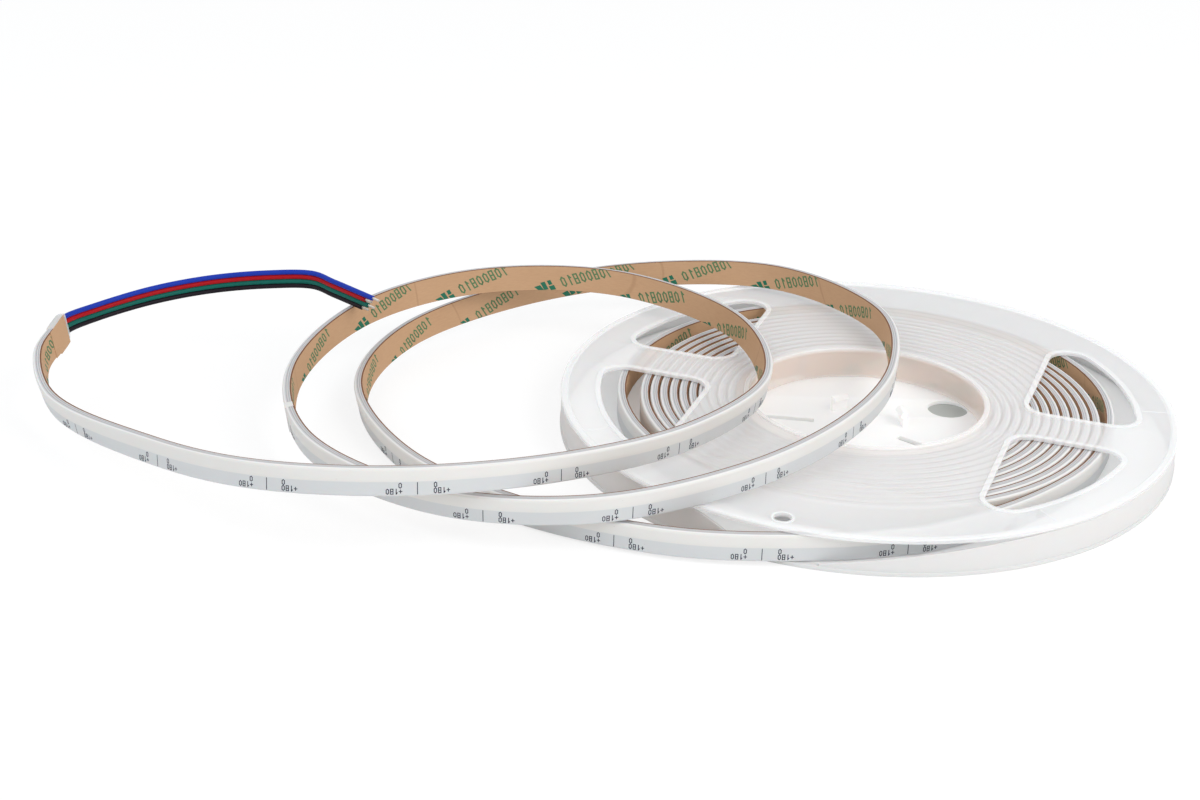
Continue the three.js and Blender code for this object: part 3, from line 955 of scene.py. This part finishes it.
def make_splice():
    """The joint in the sleeve on the first loop: a short thin band, and a lifted corner of the paper."""
    inner, outer = BACK + LINER, STRIP_DEPTH / 2 + SPLICE_GROW
    low, high = -SPLICE_GROW, STRIP_WIDTH + SPLICE_GROW
    verts = []
    for share in (-1, -0.5, 0, 0.5, 1):
        s = SPLICE + SPLICE_HALF * share
        verts += [STRIP.at(s, *corner) for corner in ((outer, low), (outer, high), (inner, high), (inner, low))]
    silicone = cap_material("splice_silicone", (0.73, 0.72, 0.7), 1.0)
    band = new_piece("splice_band", verts, skin(5, 4), [silicone])
    flap = []
    for s, out, above in LIFTED_CORNER:
        flap += [STRIP.at(SPLICE + s, BACK + out - lift, above) for lift in (0.03, 0.15)]
    paper = bpy.data.materials["liner_kraft"]
    flap_piece = new_piece("splice_paper", flap, LIFTED_FACES, [paper])
    for piece in (band, flap_piece):
        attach(piece, "root")


# Reel pieces
def arc_points(x, y, radius, start, end, steps):
    """Points along an arc in radians, its far end left out."""
    turns = [start + (end - start) * k / steps for k in range(steps)]
    return [(x + radius * math.cos(a), y + radius * math.sin(a)) for a in turns]


def ring_points(radius, x=0, y=0):
    steps = BIG_RING_STEPS if radius > BIG_RING else SMALL_RING_STEPS
    return arc_points(x, y, radius, 0, 2 * math.pi, steps)


def window_points(grow, side_x, side_y):
    near = HUB_OPENING + HUB_BAND - grow
    spoke = SPOKE_HALF - grow
    rim = REEL_RADIUS - RIM_WIDTH + grow
    fillet = WINDOW_FILLET + grow
    middle = rim - fillet
    low = (math.sqrt(middle**2 - (spoke + fillet) ** 2), spoke + fillet)
    high = (near + fillet, math.sqrt(middle**2 - (near + fillet) ** 2))
    low_turn = math.atan2(low[1], low[0])
    high_turn = math.atan2(high[1], high[0])
    points = arc_points(near + fillet, spoke + fillet, fillet, math.pi, 1.5 * math.pi, FILLET_STEPS)
    points.append((near + fillet, spoke))
    points += arc_points(*low, fillet, -0.5 * math.pi, low_turn, FILLET_STEPS)
    points += arc_points(0, 0, rim, low_turn, high_turn, 3 * FILLET_STEPS)
    points += arc_points(*high, fillet, high_turn, math.pi, FILLET_STEPS)
    points.append((near, high[1]))
    return [(x * side_x, y * side_y) for x, y in points]


def plate(name, outlines, bottom, top, edge, turn=0):
    """A flat body with holes: the first outline is its edge, and its rims are rounded by edge."""
    curve = bpy.data.curves.new(name, "CURVE")
    curve.dimensions = "2D"
    curve.fill_mode = "BOTH"
    curve.extrude = ((top - bottom) / 2 - edge) * MM
    curve.bevel_depth = edge * MM
    curve.bevel_resolution = 2
    curve.offset = -edge * MM
    for outline in outlines:
        spline = curve.splines.new("POLY")
        spline.points.add(len(outline) - 1)
        for knot, (x, y) in zip(spline.points, outline):
            knot.co = (x * MM, y * MM, 0, 1)
        spline.use_cyclic_u = True
    made = bpy.data.objects.new(name, curve)
    bpy.context.scene.collection.objects.link(made)
    mesh = bpy.data.meshes.new_from_object(made.evaluated_get(bpy.context.evaluated_depsgraph_get()))
    bpy.data.objects.remove(made)
    mesh.transform(Matrix.Translation((0, 0, (top + bottom) / 2 * MM)))
    mesh.transform(Matrix.Rotation(math.radians(turn), 4, "Z"))
    return finished(name, mesh, weld=True)


def lathe(name, profile, steps=360):
    """A ring body from a closed profile of (radius, z)."""
    verts = []
    for k in range(steps):
        a = 2 * math.pi * k / steps
        verts += [(r * math.cos(a), r * math.sin(a), z) for r, z in profile]
    faces = skin(steps, len(profile), ring_closed=True)
    return new_piece(name, verts, faces, [])


def make_flange():
    corners = [(1, 1), (-1, 1), (-1, -1), (1, -1)]
    place = polar(REEL_RADIUS - RIM_HOLE["inset"], RIM_HOLE["azimuth"] - SPOKE_AZIMUTH)
    hole = ring_points(RIM_HOLE["radius"], place.x, place.y)
    windows = [window_points(0, *c) for c in corners]
    hub = ring_points(HUB_OPENING)
    pieces = [
        plate("plate", [ring_points(RIM), hub, *windows, hole], PLATE_BOTTOM, PLATE_TOP, PLATE_EDGE,
              SPOKE_AZIMUTH)
    ]
    for n, corner in enumerate(corners):
        outlines = [window_points(LIP_WIDTH, *corner), windows[n]]
        pieces.append(plate(f"window_lip_{n}", outlines, LIP_ROOT, REEL_HEIGHT, LIP_EDGE, SPOKE_AZIMUTH))
    outlines = [ring_points(RIM_HOLE["radius"] + LIP_WIDTH / 2, place.x, place.y), hole]
    pieces.append(plate("hole_lip", outlines, LIP_ROOT, REEL_HEIGHT, LIP_EDGE, SPOKE_AZIMUTH))
    inner, outer, lip = HUB_OPENING, HUB_OPENING + COLLAR, HUB_OPENING + LIP_WIDTH
    r = COLLAR_ROUND
    profile = [
        (inner + r, STRIP_FLOOR), (outer - r, STRIP_FLOOR), (outer, STRIP_FLOOR + r),
        (outer, PLATE_BOTTOM - 3 * r), (outer + r, PLATE_BOTTOM - r / 2), (outer + r, PLATE_TOP),
        (lip, PLATE_TOP), (lip, REEL_HEIGHT - r), (lip - r, REEL_HEIGHT),
        (inner + r, REEL_HEIGHT), (inner, REEL_HEIGHT - r), (inner, STRIP_FLOOR + r),
    ]
    pieces.append(lathe("collar", profile))
    band_outer, band_inner = REEL_RADIUS - RIM_STEP, REEL_RADIUS - BAND_WIDTH
    profile = [
        (band_inner, LIP_ROOT), (band_outer, LIP_ROOT), (band_outer, REEL_HEIGHT - BAND_ROUND),
        (band_outer - BAND_ROUND, REEL_HEIGHT), (band_inner + 2.4 * BAND_ROUND, REEL_HEIGHT),
    ]
    pieces.append(lathe("rim_band", profile))
    pieces += weld_lines()
    piece = join("flange_shell", pieces)
    piece.data.materials.clear()
    piece.data.materials.append(flange_material())
    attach(piece, "root")
    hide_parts("reel_flange")


def weld_lines():
    """Faint radial ridges near the rim where the flange was moulded."""
    made = []
    half = WELD_WIDTH / 2
    for azimuth, start, end in WELD_LINES:
        outline = [(start, -half), (end, -half), (end, half), (start, half)]
        made.append(plate("weld", [outline], PLATE_TOP - 0.05, PLATE_TOP + 0.09, 0.03, azimuth))
    return made


def wall_height(past, rise):
    low = DISC + NOTCH_END_HEIGHT
    return low + (WALL_TOP - low) * math.sin(min(max(past / rise, 0), 1) * math.pi / 2)


def make_wall():
    """The outer wall from one side of the notch round to the other, its top rounded."""
    outer, inner = REEL_RADIUS - RIM_STEP, REEL_RADIUS - WALL
    length = 2 * math.pi * REEL_RADIUS - NOTCH_OPEN_RIGHT - NOTCH_OPEN_LEFT
    r = WALL_ROUND
    verts = []
    for k in range(WALL_STEPS + 1):
        past = length * (k / WALL_STEPS)
        turn = math.degrees((NOTCH_OPEN_RIGHT + past) / REEL_RADIUS)
        azimuth = NOTCH_AZIMUTH + turn
        top = min(wall_height(past, NOTCH_RISE_RIGHT), wall_height(length - past, NOTCH_RISE_LEFT))
        ring = [
            (inner, DISC - 0.2), (outer, DISC - 0.2), (outer, top - r), (outer - 0.12, top - 0.1),
            (outer - r, top), (inner + r, top), (inner + 0.12, top - 0.1), (inner, top - r),
        ]
        verts += [polar(radius, azimuth, z) for radius, z in ring]
    return new_piece("wall", verts, skin(WALL_STEPS + 1, 8), [])


def make_clip(azimuth, distance):
    """A springy clip: a thin tongue with a rounded nose that faces the hub's middle."""
    foot = distance + CLIP["thickness"]
    top = DISC + CLIP["height"]
    nose = CLIP["nose"]
    profile = [
        (foot, DISC - 0.1), (foot, top - 0.4), (foot - 0.15, top - 0.1), (foot - 0.4, top), (distance, top),
        (distance - nose * 0.5, top - nose * 0.4), (distance - nose, top - nose * 1.05),
        (distance - nose * 0.9, top - nose * 1.3), (distance, top - nose * 1.8), (distance, DISC - 0.1),
    ]
    half = CLIP["width"] / 2
    verts = []
    for y in (-half, -half + 0.15, half - 0.15, half):
        shrink = 0.12 if abs(y) == half else 0
        for x, z in profile:
            middle = (distance + foot) / 2
            verts.append((x + (middle - x) * shrink, y, z - shrink * (z > DISC) * 0.6))
    piece = new_piece("clip", verts, skin(4, len(profile)), [])
    piece.data.transform(Matrix.Rotation(math.radians(azimuth), 4, "Z"))
    return piece


def make_base():
    hole = polar(FINGER_HOLE["distance"], FINGER_HOLE["azimuth"])
    outlines = [ring_points(RIM), ring_points(FINGER_HOLE["radius"], hole.x, hole.y)]
    for slot in SLOTS:
        half = SLOT_WIDTH / 2
        corners = [(slot["start"], -half), (slot["end"], -half), (slot["end"], half), (slot["start"], half)]
        turned = [Matrix.Rotation(math.radians(slot["azimuth"]), 2) @ Vector(c) for c in corners]
        outlines.append([tuple(c) for c in turned])
    pieces = [plate("disc", outlines, 0, DISC, PLATE_EDGE), make_wall()]
    pieces += [make_clip(**clip) for clip in CLIPS]
    piece = join("base_shell", pieces)
    piece.data.materials.clear()
    piece.data.materials.append(base_material())
    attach(piece, "root")
    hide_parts("reel_base")


# Studio: each lamp is its name, place in metres, power, size and colour
LAMPS = [
    ("key", (1.0, -0.75, 1.1), 12.5, 1.2, (1, 0.985, 0.965)),
    ("front", (0.65, -1.3, 0.45), 2.6, 0.9, (1, 0.99, 0.975)),
    ("fill", (-1.1, -0.5, 1.0), 5.5, 1.4, (0.95, 0.975, 1)),
]
LAMP_AIM = Vector((-0.08, 0, 0.01))
FLOOR_HALF = 4000
FLOOR_DROP = 0.05
FLOOR_GLOW = 1.06
FLOOR_GLOW_SHARE = 0.7
WORLD_STRENGTH = 0.7


def make_floor():
    """A pale floor that stays near white to the camera and keeps a soft shadow, and is painted grey as painted
    shadow under the reel.
    """
    verts = [(x * FLOOR_HALF, y * FLOOR_HALF, -FLOOR_DROP) for x, y in ((-1, -1), (1, -1), (1, 1), (-1, 1))]
    mesh = bpy.data.meshes.new("floor")
    mesh.from_pydata([Vector(v) * MM for v in verts], [], [(0, 1, 2, 3)])
    floor = bpy.data.objects.new("floor", mesh)
    bpy.context.scene.collection.objects.link(floor)
    m = Shader("floor_white", Roughness=0.9)
    m.surface.inputs["Specular IOR Level"].default_value = 0.0
    glow = m.node("Emission", (1, 1, 1, 1), FLOOR_GLOW)
    away = m.node("VectorMath", m.place(), operation="LENGTH").outputs["Value"]
    # Painted shadow: the floor under the reel is painted grey and gets no glow
    under = m.calc("SUBTRACT", 1.0, m.ease(away, 0.108, 0.114))
    m.colour(m.mix(under, (0.9, 0.9, 0.9), (0.5, 0.52, 0.5)))
    share = m.calc("MULTIPLY", FLOOR_GLOW_SHARE, m.calc("SUBTRACT", 1.0, under))
    soft = m.node("MixShader", share, m.surface.outputs[0], glow.outputs[0])
    path = m.node("LightPath")
    both = m.node("MixShader", path.outputs["Is Camera Ray"], m.surface.outputs[0], soft.outputs[0])
    m.tree.links.new(both.outputs[0], m.tree.nodes["Material Output"].inputs["Surface"])
    mesh.materials.append(m.material)


def make_world():
    """An even pale surround, pure white where it is looked at."""
    world = bpy.data.worlds.new("studio")
    bpy.context.scene.world = world
    world.use_nodes = True
    tree = world.node_tree
    plain = tree.nodes["Background"]
    plain.inputs["Color"].default_value = (0.97, 0.985, 1, 1)
    plain.inputs["Strength"].default_value = WORLD_STRENGTH
    white = tree.nodes.new("ShaderNodeBackground")
    white.inputs["Color"].default_value = (1, 1, 1, 1)
    path = tree.nodes.new("ShaderNodeLightPath")
    seen = tree.nodes.new("ShaderNodeMath")
    seen.operation = "MAXIMUM"
    tree.links.new(path.outputs["Is Camera Ray"], seen.inputs[0])
    tree.links.new(path.outputs["Is Transmission Ray"], seen.inputs[1])
    also = tree.nodes.new("ShaderNodeMath")
    also.operation = "MAXIMUM"
    tree.links.new(seen.outputs[0], also.inputs[0])
    tree.links.new(path.outputs["Is Glossy Ray"], also.inputs[1])
    mixed = tree.nodes.new("ShaderNodeMixShader")
    tree.links.new(also.outputs[0], mixed.inputs[0])
    tree.links.new(plain.outputs[0], mixed.inputs[1])
    tree.links.new(white.outputs[0], mixed.inputs[2])
    tree.links.new(mixed.outputs[0], tree.nodes["World Output"].inputs["Surface"])


def make_lamp(name, place, power, size, colour):
    lamp = bpy.data.lights.new(name, "AREA")
    lamp.shape = "DISK"
    lamp.size = size
    lamp.energy = power
    lamp.color = colour
    made = bpy.data.objects.new(name, lamp)
    made.location = place
    aim = LAMP_AIM - Vector(place)
    made.rotation_euler = aim.to_track_quat("-Z", "Y").to_euler()
    bpy.context.scene.collection.objects.link(made)


TIN = tin_material()
make_camera()
for wire in WIRES:
    make_wire(wire)
make_sleeve()
make_liner()
make_marks()
make_print()
make_cap()
make_splice()
make_base()
make_flange()
make_floor()
make_world()
for lamp in LAMPS:
    make_lamp(*lamp)

scene = bpy.context.scene
scene.view_settings.view_transform = "Standard"
